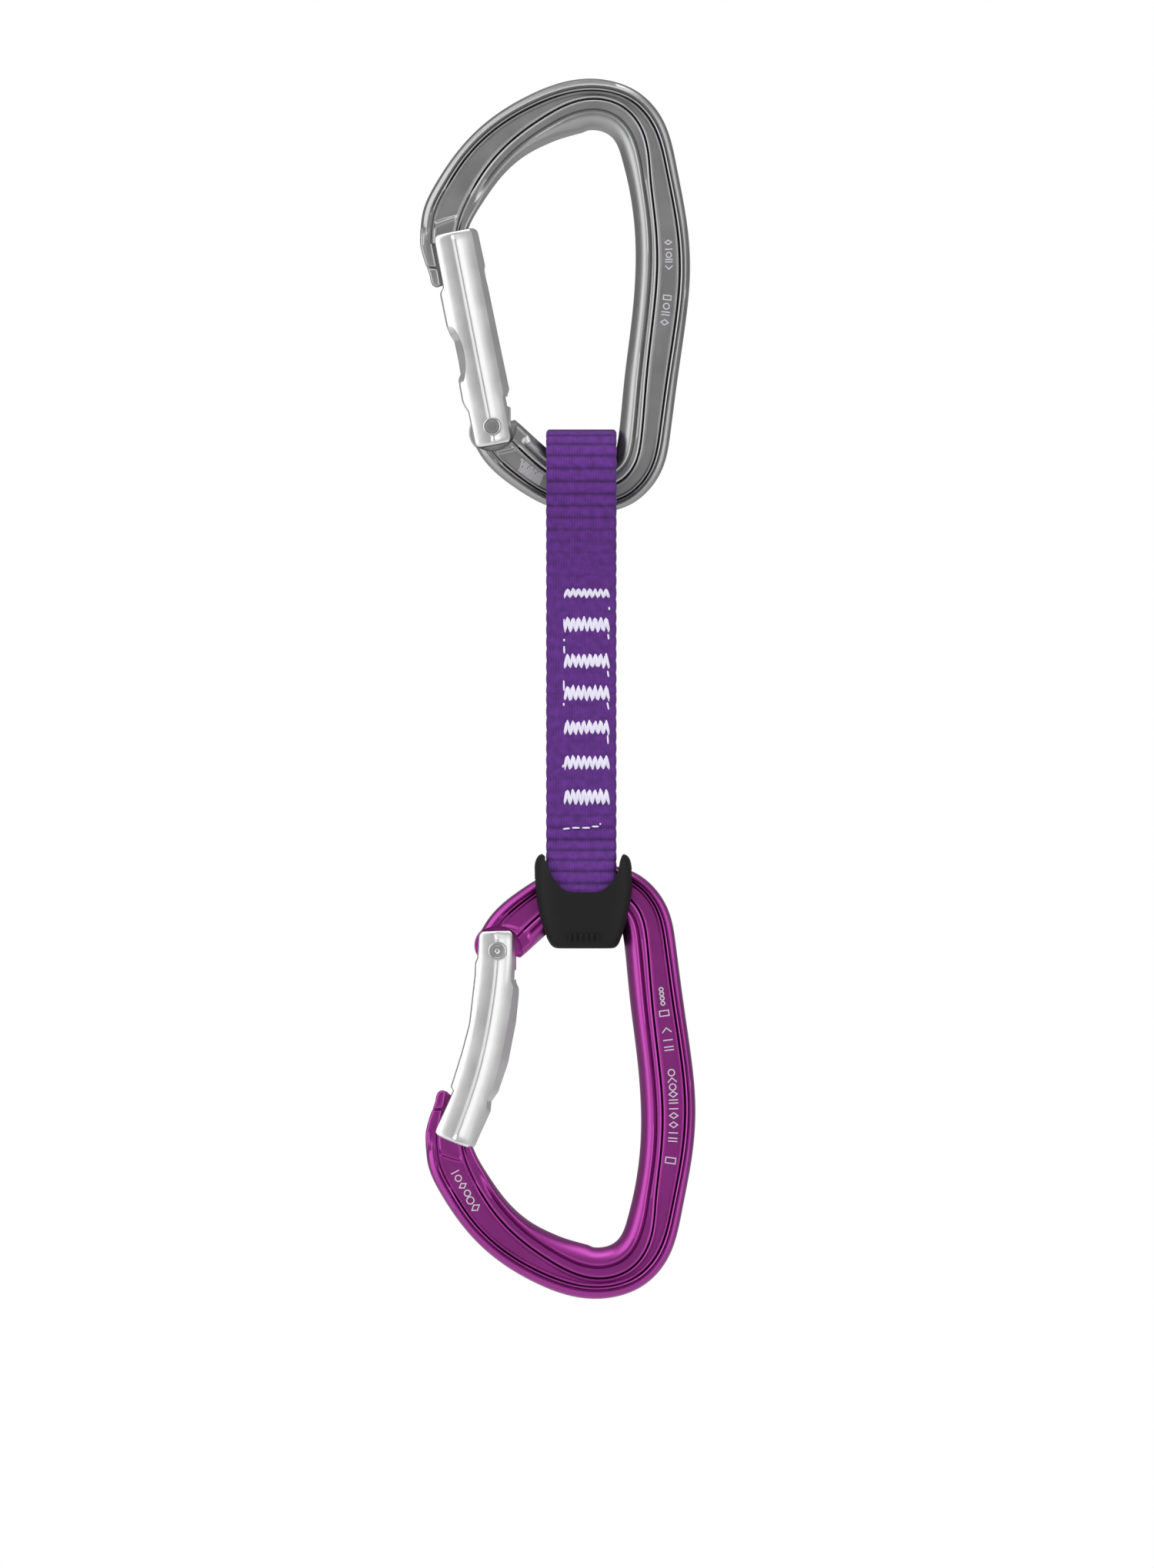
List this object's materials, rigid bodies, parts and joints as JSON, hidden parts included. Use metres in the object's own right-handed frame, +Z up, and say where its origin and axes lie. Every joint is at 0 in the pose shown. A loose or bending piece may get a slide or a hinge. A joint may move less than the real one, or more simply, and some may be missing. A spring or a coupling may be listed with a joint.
{
  "type": "climbing quickdraw",
  "caption": "Climbing quickdraw: a straight-gate and a bent-gate keylock carabiner joined by a sewn webbing sling, the lower one held by a rubber keeper.",
  "frame": {"origin": "inside of the upper carabiner's crook, at the middle of its thickness, where the quickdraw hangs", "axes": "+Z up towards the crook it hangs from, +X towards the carabiners' spines, +Y through the carabiners' thickness, from front to back"},
  "size_m": [0.0642, 0.0186, 0.2839],
  "materials": {
    "grey_anodised": "satin anodised",
    "purple_anodised": "satin anodised, magenta-purple",
    "silver_anodised": "satin anodised",
    "stainless": "satin",
    "webbing": "ribbed woven nylon",
    "thread": "twisted polyester thread",
    "rubber": "moulded, matt"
  },
  "bodies": {
    "upper_carabiner": {"upper_frame": "grey_anodised", "upper_gate_rivet": "stainless"},
    "upper_gate": {"upper_gate": "silver_anodised", "upper_gate_spring": "stainless"},
    "upper_pusher": {"upper_gate_pusher": "stainless"},
    "sling_upper_eye": {"webbing_upper_eye": "webbing"},
    "sling_core": {"webbing_core": "webbing", "bar_tack_1": "thread", "bar_tack_2": "thread", "bar_tack_3": "thread", "bar_tack_4": "thread", "bar_tack_5": "thread", "bar_tack_6": "thread", "bar_tack_7": "thread", "border_stitch": "thread"},
    "lower_carabiner": {"webbing_lower_eye": "webbing", "rubber_keeper": "rubber", "lower_frame": "purple_anodised", "lower_gate_rivet": "stainless"},
    "lower_gate": {"lower_gate": "silver_anodised", "lower_gate_spring": "stainless"},
    "lower_pusher": {"lower_gate_pusher": "stainless"}
  },
  "joints": [
    {"name": "upper_gate_hinge", "type": "hinge", "parent": "upper_carabiner", "child": "upper_gate", "pos_m": [-0.0236, 0, -0.069], "axis": [0, 1, 0], "range_deg": [0, 32], "stiffness_Nm_per_rad": 0.3, "springref_deg": -20.05},
    {"name": "upper_pusher_slide", "type": "slide", "parent": "upper_gate", "child": "upper_pusher", "axis": [-0.1925, 0, 0.9813], "range_m": [0, 0.0015], "deforming": ["upper_gate_spring"]},
    {"name": "eye_swing", "type": "hinge", "parent": "upper_carabiner", "child": "sling_upper_eye", "pos_m": [-0.0028, 0, -0.082], "axis": [1, 0, 0], "range_deg": [-35, 35]},
    {"name": "upper_sling_bend", "type": "hinge", "parent": "sling_upper_eye", "child": "sling_core", "pos_m": [-0.0028, 0, -0.105], "axis": [1, 0, 0], "range_deg": [-40, 40], "stiffness_Nm_per_rad": 0.02},
    {"name": "lower_sling_bend", "type": "hinge", "parent": "sling_core", "child": "lower_carabiner", "pos_m": [-0.0028, 0, -0.1655], "axis": [1, 0, 0], "range_deg": [-40, 40], "stiffness_Nm_per_rad": 0.02},
    {"name": "lower_gate_hinge", "type": "hinge", "parent": "lower_carabiner", "child": "lower_gate", "pos_m": [-0.02235, 0, -0.1909], "axis": [0, -1, 0], "range_deg": [0, 32], "stiffness_Nm_per_rad": 0.3, "springref_deg": -20.05},
    {"name": "lower_pusher_slide", "type": "slide", "parent": "lower_gate", "child": "lower_pusher", "axis": [-0.1925, 0, -0.9813], "range_m": [0, 0.0015], "deforming": ["lower_gate_spring"]}
  ],
  "couplings": [
    {"joint": "upper_pusher_slide", "follows": "upper_gate_hinge", "m_per_rad": 0.0023},
    {"joint": "lower_pusher_slide", "follows": "lower_gate_hinge", "m_per_rad": 0.0023}
  ]
}
